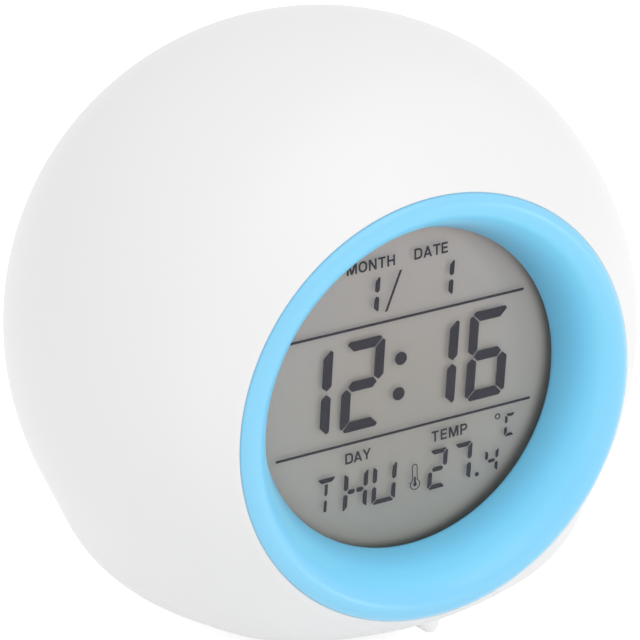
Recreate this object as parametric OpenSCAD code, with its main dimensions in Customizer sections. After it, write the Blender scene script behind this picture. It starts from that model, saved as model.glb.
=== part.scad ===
// Ball-shaped alarm clock with a night light inside its frosted globe.
// The origin is the centre of the clock's bounding box on the table, +Z up, front towards -Y.

/* [Globe] */
// Diameter of the globe
globe_d = 110; // [108:0.5:112]
// Wall of the globe
globe_wall = 1.8; // [1.6:0.1:2]
// Height of the globe's centre above its flat underside
base_drop = 45.1; // [44.8:0.1:45.4]
// Radius of the flat underside
base_flat_r = 26.6; // [26.4:0.1:26.8]
// Radius of the rounding between the underside and the side
base_round_r = 21.2; // [21.1:0.1:21.3]

/* [Front ring] */
// Outer radius of the front ring
ring_r = 37.25; // [37:0.05:37.5]
// Distance from the globe's centre to the plane of the ring's outer edge
ring_reach = 39.4; // [39.2:0.1:39.6]
// How far the ring's axis passes below the globe's centre
ring_drop = 2.5; // [2.3:0.1:2.7]
// How far the ring's face leans up, in degrees
ring_tilt = 2.5; // [2.3:0.1:2.7]
// Slope of the globe's front around the ring, in degrees
front_slope = 38; // [37:0.5:40]
// Radius of the ring's inner edge, around the display
aperture_r = 28.4; // [28.2:0.1:28.6]
// Distance from the plane of the ring's outer edge back to the display
display_depth = 10.9; // [10.8:0.1:11]
// Width of the ring's rounded lip
lip_w = 3.85; // [3.8:0.05:3.9]
// Height of the lip over the ring's outer edge
lip_h = 0.95; // [0.9:0.05:1]

/* [Display] */
// Height of the clock digits
clock_digit_h = 16; // [15:0.5:16]
// Height of the date digits
date_digit_h = 6.7; // [6.4:0.1:6.8]
// Height of the day and temperature digits
low_digit_h = 7.2; // [6.8:0.1:7.2]
// Lean of the characters, in degrees
digit_lean = 5; // [0:1:8]

/* [Base] */
// Height of the feet under the globe
foot_h = 2; // [1.6:0.1:2.4]
// Distance from the globe's axis to each foot
foot_reach = 33; // [32.6:0.1:33]
// Radius of the base cover
cover_r = 33.7; // [33.6:0.05:33.75]
// Diameter of a battery cell
cell_d = 10.5; // [10.3:0.1:10.5]
// Length of a battery cell
cell_len = 44.5; // [44:0.1:44.5]

/* [Rear panel] */
// Width of the rear panel's opening
panel_w = 54; // [53:0.5:54]
// Height of the rear panel's opening
panel_h = 28; // [28:0.5:29]
// How far the rear panel leans down, in degrees
panel_lean = 18; // [17:0.5:19]
// Diameter of a push button
button_d = 6.4; // [6:0.1:6.6]
// Distance between the push buttons
button_pitch = 9; // [8.8:0.1:9.2]
// Travel of a push button
button_travel = 1; // [0.6:0.1:1]
// Travel of the alarm slide switch
switch_travel = 3; // [2.4:0.2:3]

/* [Hidden] */
$fn = 96;

big = 200;                                  // larger than the whole clock
fit_gap = 0.25;                             // gap between parts that fit into each other
seat = 0.05;                                // hair gap between parts that only touch

globe_r = globe_d / 2;
globe_z = base_drop + foot_h;               // height of the globe's centre over the table

// the globe's outline is a circle, a straight flank and a rounding
round_z = base_round_r - base_drop;         // height of the rounding's centre
round_dist = norm([base_flat_r, round_z]);
flank_angle = atan2(round_z, base_flat_r) + acos((globe_r - base_round_r) / round_dist);
flank_top_r = globe_r * cos(flank_angle);
split_z = globe_r * sin(flank_angle);       // the ball ends and the straight flank starts here

// front ring, in the front frame: r from the ring's axis, s from the globe's centre
display_s = ring_reach - display_depth;     // front face of the display glass
lip_r = (pow(lip_w / 2, 2) + pow(lip_h, 2)) / (2 * lip_h);
lip_c = [ring_r - lip_w / 2, ring_reach + lip_h - lip_r];
lip_start_angle = atan2(ring_reach - lip_c[1], lip_w / 2);
lip_end_angle = 144;                        // where the lip runs into the sloping wall
lip_dir = [cos(lip_end_angle), sin(lip_end_angle)];
wall_top = lip_c + lip_r * lip_dir;
wall_foot = [aperture_r, display_s + 1.4];
wall_chord = wall_foot - wall_top;
wall_r = -(wall_chord * wall_chord) / (2 * (wall_chord * lip_dir));
wall_c = wall_top - wall_r * lip_dir;
wall_end_angle = atan2(wall_foot[1] - wall_c[1], wall_foot[0] - wall_c[0]);
ring_edge_s = display_s + 0.8;              // underside of the ring's inner edge
ring_wall = 2;
skirt_s = 34.5;                             // rear end of the ring's skirt
ring_hole_r = ring_r + fit_gap;
front_reach = lip_c[1] * cos(ring_tilt) + (lip_c[0] + ring_drop) * sin(ring_tilt) + lip_r;
globe_y = (front_reach - globe_r) / 2;      // puts the origin midway between front and back

// ring posts and the display stack behind the ring
post_turn = [0, 90, 180, 270];
post_reach = 34.5;
post_r = 2;
post_s = display_s - 3;                     // rear end of the ring's posts
window_r = 31.5;
window_t = 0.6;
glass_w = 60;
glass_h = 63;
glass_t = 1;
ledge_h = 3.4;                              // contact ledge above and below the rear glass
glass_round_r = 39;                         // the glass has its corners cut on this radius
segment_t = 0.05;
bar_gap = 0.14;                             // gaps between the bars of a character
point_gap = 0.3;
guide_r = 28.6;
guide_t = 2.9;
board_s = display_s - 5.4;                  // front face of the main board
board_t = 1.2;
holder_r = 41;
board_screw_at = [25, 22];
screw_clearance = 0.2;

// base
floor_t = 2.2;                              // floor of the base cover
bay_w = 49;                                 // battery bay, inside
bay_d = 32;
bay_y = -2;                                 // middle of the bay, from the globe's axis
bay_wall = 1.3;
bay_roof_z = -31.5;                         // underside of the bay's roof
cell_z = -37.2;                             // axis of the cells
door_t = 1.2;
door_w = bay_w + 1.6;
door_y0 = bay_y - bay_d / 2 - 1.8;          // the door's hinge axis
bearing_y = door_y0 + 0.9;                  // rear end of the bearings of the door's pins
door_side_y = door_y0 + 1.75;               // beside its knuckle the door starts here
door_y1 = bay_y + bay_d / 2 + 0.8;          // the door's rear edge
door_z = -base_drop;
hinge_z = door_z + door_t + 0.1;
knuckle_r = 1.1;
knuckle_w = 40;
pin_r = 0.7;
pin_fit = 0.05;
door_screw_y = bay_y + bay_d / 2 + 3.6;
base_screw_reach = 29.5;
base_screw_turn = [60, 120, 240, 300];
foot_turn = [-83, 45, 135];
foot_w = 4.4;
foot_len = 5.2;
foot_root = 1.2;                            // how far each foot stands up into the base cover
ledge_z = -base_drop + floor_t;             // the base cover seats against the globe's ledge here

// rear panel
panel_round = 9;
panel_in = 0.5;                             // how far the panel lies below the globe's surface
flange_w = 2.2;                             // flange behind the edge of the opening
button_board_s = 40.5;                      // outer face of the button board
button_board_t = 1.2;
button_y = 3;
upper_y = -7;
button_x = [for (i = [-2:2]) i * button_pitch];
stem_r = 1.4;
switch_h = 2.5;
socket_x = 12;
switch_x = -12;
socket_w = 8.94;
socket_h = 3.26;
panel_screw_x = 32.2;
ear_s = 39;                                 // where the panel's ears meet the globe's bosses
ear_t = 1.6;
panel_skin_r = globe_r - panel_in;          // the panel is cut from a ball
panel_back_r = globe_r - globe_wall - 1.6;
board_post_at = [[-20.5, -9], [20.5, -9], [-13.5, 10], [13.5, 10]];

// night light
column_y = 4;
column_r = 8;
column_z = -0.5;                            // underside of the light board
light_cable_x = -11.6;
light_board_r = 17;
light_board_t = 1.6;

// ---- frames ----

// from the globe's centre to the table frame
module at_globe() {
    translate([0, globe_y, globe_z]) children();
}

// +Z out along the ring's axis, +Y up the ring's face
module at_front() {
    at_globe() rotate([90 - ring_tilt, 0, 0]) translate([0, -ring_drop, 0]) children();
}

// +Z out of the rear panel, +Y down the panel, +X to the clock's own right
module at_rear() {
    at_globe() rotate([-90 - panel_lean, 0, 0]) children();
}

// ---- repeated shapes ----

module round_rect(w, h, r) {
    square([w - 2 * r, h], center = true);
    square([w, h - 2 * r], center = true);
    for (x = [-1, 1], y = [-1, 1]) translate([x * (w / 2 - r), y * (h / 2 - r)]) circle(r);
}

module tube(r_out, r_in, h) {
    difference() {
        cylinder(r = r_out, h = h);
        translate([0, 0, -1]) cylinder(r = r_in, h = h + 2);
    }
}

// pan-head screw: the head's seat is at z = 0 and the shank points along +Z
module screw(shank_r, len, head_r, head_h) {
    difference() {
        union() {
            translate([0, 0, -head_h]) cylinder(r = head_r, h = head_h);
            cylinder(r = shank_r, h = len);
        }
        for (a = [0, 90]) rotate([0, 0, a])
            translate([-head_r * 0.6, -head_r * 0.12, -head_h - 0.01])
                cube([head_r * 1.2, head_r * 0.24, head_h * 0.5]);
    }
}

// one straight run of a flat cable in the plane x = 0 of its own frame, from a to b as [y, z]
module cable_run(a, b, w, t) {
    run = b - a;
    translate([-w / 2, a[0], a[1]]) rotate([atan2(run[1], run[0]), 0, 0])
        translate([0, -t / 2, -t / 2]) cube([w, norm(run) + t, t]);
}

// a flat cable along a route of [y, z] places
module flat_cable(route, w, t) {
    for (i = [0:len(route) - 2]) cable_run(route[i], route[i + 1], w, t);
}

// points of an arc about a centre, from one angle to another
function arc(centre, r, from, to, steps) =
    [for (i = [0:steps]) let (a = from + i * (to - from) / steps)
        centre + r * [cos(a), sin(a)]];

// arc of the rounding between the flank and the underside, moved in by a wall
function rounding(inset) =
    arc([base_flat_r, round_z], base_round_r - inset, -90, flank_angle, 12);

// cross-section of the globe's lower wall: underside, rounding and straight flank
module lower_section() {
    inner = rounding(globe_wall);
    polygon(concat(
        rounding(0), [[flank_top_r, split_z], [flank_top_r - globe_wall / cos(flank_angle), split_z]],
        [for (i = [len(inner) - 1:-1:0]) inner[i]]
    ));
}

// cone about the ring's axis, that slopes the globe's front down to the ring's edge
module front_cone(inset) {
    back = 130;
    front = 25;
    at_front() translate([0, 0, ring_reach - back - inset / cos(front_slope)])
        cylinder(
            r1 = ring_hole_r + back / tan(front_slope), r2 = ring_hole_r - front / tan(front_slope),
            h = back + front, $fn = 180
        );
}

// the globe's ball above its flank, moved in by a wall and cut off at a height
module ball(inset, cut_z) {
    intersection() {
        at_globe() difference() {
            rotate([0, 90, 0]) sphere(globe_r - inset, $fn = 180);
            translate([-big, -big, cut_z - 2 * big]) cube(2 * big);
        }
        front_cone(inset);
    }
}

// ---- globe and front ----

module rear_opening(grow, s0, s1) {
    at_rear() translate([0, 0, s0]) linear_extrude(s1 - s0)
        round_rect(panel_w + 2 * grow, panel_h + 2 * grow, panel_round + grow);
}

module globe_shell() {
    base_hole_r = cover_r + fit_gap;
    boss_len = 7;
    color("whitesmoke") {
        difference() {
            union() {
                difference() {
                    ball(0, split_z);
                    ball(globe_wall, split_z - globe_wall);
                }
                at_globe() rotate_extrude($fn = 180) lower_section();
                // stiffening rib inside, where the ball runs into the flank
                at_globe() translate([0, 0, split_z - 1])
                    tube(flank_top_r - globe_wall / 2, flank_top_r - globe_wall - 0.6, 2);
            }
            at_front() translate([0, 0, 10]) cylinder(r = ring_hole_r, h = big);
            at_globe() translate([0, 0, -base_drop - 1]) cylinder(r = base_hole_r, h = 6);
            rear_opening(0, 20, big);
        }
        // ledge and screw bosses that the base cover seats against
        at_globe() translate([0, 0, ledge_z]) difference() {
            union() {
                tube(cover_r + 0.7, cover_r - 1.2, 1.3);
                for (a = base_screw_turn) rotate([0, 0, a]) {
                    translate([base_screw_reach, 0, 0]) cylinder(r = 2.8, h = boss_len);
                    translate([base_screw_reach, -0.8, 0]) cube([6, 1.6, boss_len]);
                }
            }
            for (a = base_screw_turn) rotate([0, 0, a])
                translate([base_screw_reach, 0, -1]) cylinder(r = 1.1, h = boss_len);
        }
        // bosses for the rear panel's screws
        at_rear() for (x = [-1, 1]) translate([x * panel_screw_x, 0, ear_s]) difference() {
            cylinder(r = 2.4, h = 3.4);
            translate([0, 0, -1]) cylinder(r = 0.9, h = 3.7);
        }
    }
}

// cross-section of the ring: a rounded lip, and a wall that slopes in to the display
module ring_section() {
    polygon(concat(
        arc(lip_c, lip_r, lip_start_angle, lip_end_angle, 14),
        arc(wall_c, wall_r, lip_end_angle + 1.4, wall_end_angle, 9),
        [
            [aperture_r, ring_edge_s], [aperture_r + 4.6, ring_edge_s],
            [aperture_r + 4.6, ring_edge_s + 1.6], [aperture_r + 3.4, ring_edge_s + 1.6],
            [ring_r - ring_wall, skirt_s + 2], [ring_r - ring_wall, skirt_s], [ring_r, skirt_s]
        ]
    ));
}

module front_ring() {
    hook_s = 35.4;
    color("skyblue") at_front() difference() {
        union() {
            rotate_extrude($fn = 180) ring_section();
            for (a = post_turn) rotate([0, 0, a]) translate([post_reach, 0, post_s])
                cylinder(r = post_r, h = skirt_s + 1.2 - post_s);
            for (a = [-30:60:210]) rotate([0, 0, a])
                translate([ring_r - ring_wall / 2, -2, skirt_s])
                    cube([ring_wall / 2 + 0.9, 4, hook_s - skirt_s]);
        }
        for (a = post_turn) rotate([0, 0, a]) translate([post_reach, 0, post_s - 1])
            cylinder(r = 0.9, h = 7);
    }
}

module display_window() {
    color("white", 0.3) at_front() translate([0, 0, ring_edge_s - seat - window_t])
        cylinder(r = window_r, h = window_t);
}

module cut_glass(w, h, t) {
    intersection() {
        translate([-w / 2, -h / 2, 0]) cube([w, h, t]);
        cylinder(r = glass_round_r, h = t);
    }
}

module lcd_glass() {
    color("darkgray") at_front() {
        translate([0, 0, display_s - glass_t]) cut_glass(glass_w, glass_h, glass_t);
        translate([0, 0, display_s - 2 * glass_t])
            cut_glass(glass_w, glass_h - 2 * ledge_h, glass_t);
    }
}

// ---- display characters ----

// Bars of a character in a box w by h, with strokes t wide: 0 is the top bar, 1 the upper right
// one, 2 the middle bar, 3 the left half of a split middle bar, 4 the upper half of a stem.
// The box's corners are cut, and the bars meet on a diagonal there.
function bar(kind, w, h, t) =
    let (cut = t * 0.55, tip = t * 0.42, mid = h / 2, right = w - t / 2 - point_gap)
    kind == 0 ? [
        [w - cut, h], [cut, h], [cut / 2 + bar_gap, h - cut / 2], [t + bar_gap, h - t],
        [w - t - bar_gap, h - t], [w - cut / 2 - bar_gap, h - cut / 2]
    ] : kind == 1 ? [
        [w - cut / 2, h - cut / 2 - bar_gap], [w - t, h - t - bar_gap],
        [w - t, mid + point_gap + tip], [w - t / 2, mid + point_gap],
        [w, mid + point_gap + tip], [w, h - cut]
    ] : kind == 2 ? [
        [right, mid], [right - tip, mid + t / 2], [w - right + tip, mid + t / 2],
        [w - right, mid], [w - right + tip, mid - t / 2], [right - tip, mid - t / 2]
    ] : kind == 3 ? [
        [w / 2 - bar_gap, mid], [w / 2 - tip, mid + t / 2], [w - right + tip, mid + t / 2],
        [w - right, mid], [w - right + tip, mid - t / 2], [w / 2 - tip, mid - t / 2]
    ] : [
        [(w + t) / 2 - bar_gap, h - t - point_gap], [(w - t) / 2 + bar_gap, h - t - point_gap],
        [(w - t) / 2 + bar_gap, mid + point_gap + tip], [w / 2, mid + point_gap],
        [(w + t) / 2 - bar_gap, mid + point_gap + tip]
    ];

// each bar of a character as its kind, and if it is turned left to right and upside down
BARS = [[0, 0, 0], [1, 0, 0], [1, 0, 1], [0, 0, 1], [1, 1, 1], [1, 1, 0], [2, 0, 0],
        [3, 0, 0], [3, 1, 0], [4, 0, 0], [4, 0, 1]];

// which bars each shown character lights
function lit(c) =
    c == "1" ? [1, 2] : c == "2" ? [0, 1, 3, 4, 6] : c == "4" ? [1, 2, 5, 6] :
    c == "6" ? [0, 2, 3, 4, 5, 6] : c == "7" ? [0, 1, 2] : c == "T" ? [0, 9, 10] :
    c == "H" ? [1, 2, 4, 5, 7, 8] : c == "U" ? [1, 2, 3, 4, 5] : [0, 3, 4, 5];

// the character leans about its middle, and its box starts at x = 0
module character(c, w, h, t) {
    for (k = lit(c)) {
        points = [for (p = bar(BARS[k][0], w, h, t)) let (
            x = BARS[k][1] == 1 ? w - p[0] : p[0],
            y = (BARS[k][2] == 1 ? h - p[1] : p[1]) - h / 2
        ) [x + y * tan(digit_lean), y]];
        turned = BARS[k][1] != BARS[k][2];
        polygon(turned ? [for (i = [len(points) - 1:-1:0]) points[i]] : points);
    }
}

module lcd_segments() {
    clock_y = 2.8;
    date_y = 18.1;
    day_y = -16.1;
    small_y = -17.25;
    unit_y = -11.35;
    upper_rule = 13;
    lower_rule = -7.3;
    rule_t = 0.45;
    color("dimgray") at_front() translate([0, 0, display_s]) linear_extrude(segment_t) {
        // clock
        for (c = [["1", -22.25], ["2", -12.3], ["1", 2.2], ["6", 12.25]])
            translate([c[1], clock_y]) character(c[0], 7.9, clock_digit_h, 1.8);
        for (p = [[-0.85, 5.75], [-1.4, -0.5]]) translate(p) circle(1.15);
        // date
        for (x = [-8.4, 6]) translate([x, date_y]) character("1", 3.6, date_digit_h, 0.88);
        polygon([[-0.85, 21.5], [-0.4, 21.5], [-3.35, 14.75], [-3.8, 14.75]]);
        // day
        for (c = [["T", -17.8, 3.9], ["H", -12.4, 4.65], ["U", -6.8, 4.65]])
            translate([c[1], day_y]) character(c[0], c[2], low_digit_h, 0.83);
        // temperature
        for (c = [["2", 4.25], ["7", 9.2]])
            translate([c[1], day_y]) character(c[0], 3.7, low_digit_h, 0.83);
        translate([14, -19.1]) circle(0.4);
        translate([15.6, small_y]) character("4", 2.7, 4.5, 0.6);
        translate([18.25, -9.3]) difference() { circle(0.55); circle(0.32); }
        translate([19.65, unit_y]) character("C", 2.15, 4.15, 0.55);
        // rules
        for (rule = [[upper_rule, -22.4, 23.5], [lower_rule, -25.1, 24.8]])
            translate([rule[1], rule[0] - rule_t / 2]) square([rule[2] - rule[1], rule_t]);
    }
}

// ---- display stack ----

module light_guide() {
    color("white") at_front() translate([0, 0, display_s - 2 * glass_t - seat - guide_t])
        cylinder(r = guide_r, h = guide_t);
}

module display_holder() {
    back_s = board_s;
    ear_t = post_s - board_s;
    pocket_s = display_s - 2 * glass_t - seat;
    strip_w = 50;
    color("white") at_front() difference() {
        intersection() {
            translate([0, 0, back_s]) union() {
                translate([-glass_w / 2 - 1.5, -glass_h / 2 - 1.5, 0])
                    cube([glass_w + 3, glass_h + 3, display_s - back_s]);
                for (a = post_turn) rotate([0, 0, a]) translate([post_reach, 0, 0])
                    cylinder(r = 3.4, h = ear_t);
            }
            cylinder(r = holder_r, h = big);
        }
        // pocket of the glass
        translate([0, 0, display_s - glass_t - seat]) intersection() {
            translate([-glass_w / 2 - seat, -glass_h / 2 - seat, 0])
                cube([glass_w + 2 * seat, glass_h + 2 * seat, 10]);
            cylinder(r = glass_round_r + seat, h = 20);
        }
        translate([0, 0, pocket_s])
            translate([-glass_w / 2 - seat, -glass_h / 2 + ledge_h - seat, 0])
                cube([glass_w + 2 * seat, glass_h - 2 * ledge_h + 2 * seat, 10]);
        // hole of the light guide, and slots of the contact strips
        translate([0, 0, back_s - 1]) cylinder(r = guide_r + seat, h = 20);
        for (y = [-1, 1]) translate([-strip_w / 2 - seat, y * strip_y() - 1.2 - seat, back_s - 1])
            cube([strip_w + 2 * seat, 2.4 + 2 * seat, 20]);
        // room for the ring's posts, and screw holes
        for (a = post_turn) rotate([0, 0, a]) translate([post_reach, 0, 0]) {
            translate([0, 0, post_s]) cylinder(r = post_r + 0.4, h = 20);
            cylinder(r = 0.9 + screw_clearance, h = 40);
        }
        for (x = [-1, 1], y = [-1, 1])
            translate([x * board_screw_at[0], y * board_screw_at[1], back_s - 1])
                cylinder(r = 0.8, h = 4);
    }
}

// distance of each contact strip from the display's middle
function strip_y() = glass_h / 2 - ledge_h / 2;

module contact_strips() {
    strip_w = 50;
    top_s = display_s - glass_t - seat;
    color("deeppink") at_front() for (y = [-1, 1])
        translate([-strip_w / 2, y * strip_y() - 1.2, board_s + seat])
            cube([strip_w, 2.4, top_s - board_s - 2 * seat]);
}

module ring_screws() {
    color("silver") at_front() for (a = post_turn) rotate([0, 0, a])
        translate([post_reach, 0, board_s]) screw(0.85, 6.5, 1.7, 1.2);
}

module main_board() {
    w = 56;
    h = 2 * strip_y() + 3.4;
    color("seagreen") at_front() translate([0, 0, board_s - board_t]) difference() {
        intersection() {
            translate([-w / 2, -h / 2, 0]) cube([w, h, board_t - seat]);
            cylinder(r = 38.5, h = board_t - seat);
        }
        for (x = [-1, 1], y = [-1, 1])
            translate([x * board_screw_at[0], y * board_screw_at[1], -1])
                cylinder(r = 0.75 + screw_clearance, h = 4);
        for (a = [90, 270]) rotate([0, 0, a]) translate([post_reach, 0, -1])
            cylinder(r = 2.4, h = 4);
    }
}

module board_screws() {
    color("silver") at_front() for (x = [-1, 1], y = [-1, 1])
        translate([x * board_screw_at[0], y * board_screw_at[1], board_s - board_t])
            screw(0.75, 3.8, 1.6, 1);
}

// places a component on the rear face of the main board
module on_board(x, y) {
    at_front() translate([x, y, board_s - board_t - seat]) mirror([0, 0, 1]) children();
}

module clock_chip() {
    color("black") on_board(0, 4) translate([-5, -5, 0]) cube([10, 10, 1.4]);
}

module clock_crystal() {
    color("silver") on_board(10, 4) translate([0, -3, 1.1]) rotate([-90, 0, 0])
        cylinder(r = 1, h = 6);
}

module capacitors() {
    color("royalblue") for (x = [-12, -18]) on_board(x, -10) cylinder(r = 2, h = 2.6);
}

module tap_sensor() {
    color("goldenrod") on_board(-14, 12) translate([-5, 0, 1.6]) rotate([0, 90, 0])
        cylinder(r = 1.5, h = 10);
}

module temperature_sensor() {
    color("black") on_board(16, -14) {
        translate([0, 0, 1.6]) sphere(1.1);
        for (x = [-0.5, 0.5]) translate([x, 0, 0]) cylinder(r = 0.2, h = 1);
    }
}

// ---- night light ----

column_foot_z = bay_roof_z + bay_wall + seat;
column_screw_x = 11;

module at_column(z) {
    at_globe() translate([0, column_y, z]) children();
}

module light_column() {
    foot_t = 1.6;
    top_t = 1.6;
    height = column_z - seat - column_foot_z;
    color("white") at_column(column_foot_z) difference() {
        union() {
            translate([-14, -9, 0]) cube([28, 18, foot_t]);
            cylinder(r = column_r, h = height);
            translate([0, 0, height - top_t]) cylinder(r = light_board_r - 0.5, h = top_t);
        }
        translate([0, 0, foot_t]) cylinder(r = column_r - 1.6, h = height);
        for (x = [-1, 1]) translate([x * column_screw_x, 0, -1])
            cylinder(r = 0.9 + screw_clearance, h = 4);
        for (a = [30, 150, 270]) rotate([0, 0, a]) translate([12.5, 0, height - 4])
            cylinder(r = 0.8, h = 8);
        // notch for the cable of the light board
        translate([light_cable_x - 1.6, 8.1, height - top_t - 1]) cube([3.2, 10, top_t + 2]);
    }
}

module column_screws() {
    color("silver") at_column(column_foot_z + 1.6) for (x = [-1, 1])
        translate([x * column_screw_x, 0, 0]) mirror([0, 0, 1]) screw(0.85, 2.6, 1.7, 1.2);
}

module light_board() {
    color("white") at_column(column_z) difference() {
        cylinder(r = light_board_r, h = light_board_t);
        for (a = [30, 150, 270]) rotate([0, 0, a]) translate([12.5, 0, -1])
            cylinder(r = 0.75 + screw_clearance, h = 4);
    }
}

module light_board_screws() {
    color("silver") at_column(column_z + light_board_t) for (a = [30, 150, 270])
        rotate([0, 0, a]) translate([12.5, 0, 0]) mirror([0, 0, 1])
            screw(0.7, 2.8, 1.5, 0.9);
}

module night_light_leds() {
    led_w = 5;
    color("lightyellow") at_column(column_z + light_board_t + seat) {
        for (a = [90:60:390]) rotate([0, 0, a]) translate([7.6, 0, 0])
            translate([-led_w / 2, -led_w / 2, 0]) cube([led_w, led_w, 1.6]);
    }
}

module light_diffuser() {
    rim_r = light_board_r - 0.4;
    wall = 1.2;
    color("white", 0.6) at_column(column_z + light_board_t + seat) difference() {
        sphere(rim_r);
        sphere(rim_r - wall);
        translate([-big / 2, -big / 2, -big]) cube([big, big, big]);
    }
}

// ---- base ----

module foot_columns(grow, h) {
    at_globe() translate([0, 0, -globe_z]) for (a = foot_turn) rotate([0, 0, a])
        translate([foot_reach - foot_len / 2 - 0.4, 0, 0]) linear_extrude(h)
            round_rect(foot_len + grow, foot_w + grow, (foot_w + grow) / 2 - 0.2);
}

// the three stub feet stand in pockets of the base cover
module base_feet() {
    color("white") foot_columns(0, foot_h + foot_root);
}

module base_cover() {
    bay_top = bay_roof_z + bay_wall;
    color("white") difference() {
        union() {
            at_globe() rotate_extrude($fn = 180) intersection() {
                polygon(concat([[0, ledge_z]], [[0, -base_drop]], rounding(0)));
                translate([0, -base_drop - 1]) square([cover_r, floor_t + 1 - seat]);
            }
            at_globe() {
                translate([-bay_w / 2 - bay_wall, bay_y - bay_d / 2 - bay_wall, ledge_z - 1])
                    cube([bay_w + 2 * bay_wall, bay_d + 2 * bay_wall, bay_top - ledge_z + 1]);
                // boss of the door's screw
                translate([0, door_screw_y, ledge_z - 1]) cylinder(r = 2.6, h = 4.2);
            }
        }
        at_globe() {
            // bay and its opening
            translate([-bay_w / 2, bay_y - bay_d / 2, -base_drop - 1])
                cube([bay_w, bay_d, bay_roof_z + base_drop + 1]);
            // recess of the door, with its hinge groove and screw lobe
            translate([-door_w / 2 - fit_gap, bearing_y, -base_drop - 1])
                cube([door_w + 2 * fit_gap, door_y1 - bearing_y + fit_gap, door_t + 1.05]);
            translate([-knuckle_w / 2 - fit_gap, door_y0, hinge_z]) rotate([0, 90, 0])
                cylinder(r = knuckle_r + 0.65, h = knuckle_w + 2 * fit_gap);
            translate([-knuckle_w / 2 - fit_gap, door_y0 - knuckle_r - 0.65, -base_drop - 1])
                cube([knuckle_w + 2 * fit_gap, 2 * knuckle_r + 1.3, door_t + 1.1]);
            translate([0, door_screw_y, -base_drop - 1])
                cylinder(r = 3.6 + fit_gap, h = door_t + 1.05);
            translate([0, door_screw_y, -base_drop - 1]) cylinder(r = 1.4, h = 5.2);
            // holes of the hinge pins
            translate([-knuckle_w / 2 - 2.4, door_y0, hinge_z]) rotate([0, 90, 0])
                cylinder(r = pin_r + pin_fit, h = knuckle_w + 4.8);
            // holes of the base screws, with seats for their heads
            for (a = base_screw_turn) rotate([0, 0, a])
                translate([base_screw_reach, 0, -base_drop - 1]) {
                    cylinder(r = 1.5, h = 10);
                    cylinder(r = 2.6, h = 2.1);
                }
            // sound holes
            translate([0, buzzer_y(), -base_drop - 1]) {
                cylinder(r = 0.8, h = 10);
                for (a = [0:60:300]) rotate([0, 0, a]) translate([2.8, 0, 0])
                    cylinder(r = 0.8, h = 10);
            }
            // pilot holes of the column's screws
            for (x = [-1, 1]) translate([x * column_screw_x, column_y, bay_roof_z - 1])
                cylinder(r = 0.9, h = 4);
        }
        foot_columns(2 * seat, foot_h + foot_root + seat);
    }
}

module base_screws() {
    color("silver") at_globe() for (a = base_screw_turn) rotate([0, 0, a])
        translate([base_screw_reach, 0, -base_drop + 1.1 - seat]) screw(1.05, 6, 2.3, 0.95);
}

function buzzer_y() = 26.2;

module buzzer() {
    color("black") at_globe() translate([0, buzzer_y(), ledge_z]) difference() {
        cylinder(r = 4.8, h = 5.2);
        translate([0, 0, -1]) cylinder(r = 1, h = 3);
    }
}

module battery(i) {
    button_len = 1;
    button_r = 1.9;
    side = i == 1 ? -1 : 1;
    color("darkorange") at_globe()
        translate([0, bay_y + (i - 1) * (cell_d + 0.15), cell_z]) rotate([0, 90 * side, 0])
            translate([0, 0, -cell_len / 2 + 0.8]) {
                cylinder(r = cell_d / 2, h = cell_len - button_len);
                translate([0, 0, cell_len - button_len]) cylinder(r = button_r, h = button_len);
            }
}

module at_cell_end(i, end) {
    side = i == 1 ? -1 : 1;
    at_globe() translate([0, bay_y + (i - 1) * (cell_d + 0.15), cell_z])
        rotate([0, 90 * side * end, 0]) children();
}

// each spring is a cone of closed turns
module contact_springs() {
    wire_r = 0.3;
    turns = 4;
    free = bay_w / 2 - cell_len / 2 + 0.8 - 0.45;
    color("silver") for (i = [0:2]) at_cell_end(i, -1)
        translate([0, 0, bay_w / 2 - 0.45 - free + 0.04]) difference() {
            cylinder(r1 = 2, r2 = 3.6, h = free - 0.08);
            translate([0, 0, -0.01]) cylinder(r1 = 2 - 2 * wire_r, r2 = 3.6 - 2 * wire_r, h = free);
            for (k = [1:turns - 1]) translate([0, 0, k * free / turns - 0.15])
                tube(6, 3.6 - 1.6 * (1 - k / turns) - wire_r, 0.3);
        }
}

module contact_plates() {
    plate_t = 0.35;
    color("silver") for (i = [0:2], end = [-1, 1]) at_cell_end(i, end)
        translate([-4, -4.4, bay_w / 2 - plate_t - 0.04]) cube([8, 8.8, plate_t]);
}

module battery_door() {
    color("white") at_globe() difference() {
        union() {
            translate([-door_w / 2, door_side_y, door_z])
                cube([door_w, door_y1 - door_side_y, door_t]);
            translate([-knuckle_w / 2, door_y0, door_z])
                cube([knuckle_w, door_side_y - door_y0 + 1, door_t]);
            translate([0, door_screw_y, door_z]) cylinder(r = 3.6, h = door_t);
            translate([-knuckle_w / 2, door_y0, hinge_z]) rotate([0, 90, 0])
                cylinder(r = knuckle_r, h = knuckle_w);
            translate([-knuckle_w / 2 - 2, door_y0, hinge_z]) rotate([0, 90, 0])
                cylinder(r = pin_r, h = knuckle_w + 4);
        }
        // finger grooves, and the screw's hole
        for (k = [-2:2]) translate([-8, door_y1 - 7 + k * 1.6, door_z - 1])
            cube([16, 0.8, 1.4]);
        translate([0, door_screw_y, door_z - 1]) cylinder(r = 1.2, h = 4);
        translate([0, door_screw_y, door_z - 1]) cylinder(r = 2.3, h = 1.7);
        // below the knuckle the door is cut back, so that it can swing
        translate([-door_w, door_y0 - 10, door_z - 1]) cube([2 * door_w, 10, 1 + door_t - 0.9]);
    }
}

module door_screw() {
    color("silver") at_globe() translate([0, door_screw_y, door_z + 0.7])
        screw(1.15, 3.2, 2.1, 0.65);
}

// ---- rear panel ----

// distance from the globe's centre to a ball's surface, over a place on the rear panel
function ball_s(r, x, y) = sqrt(pow(r, 2) - pow(x, 2) - pow(y, 2));

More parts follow.
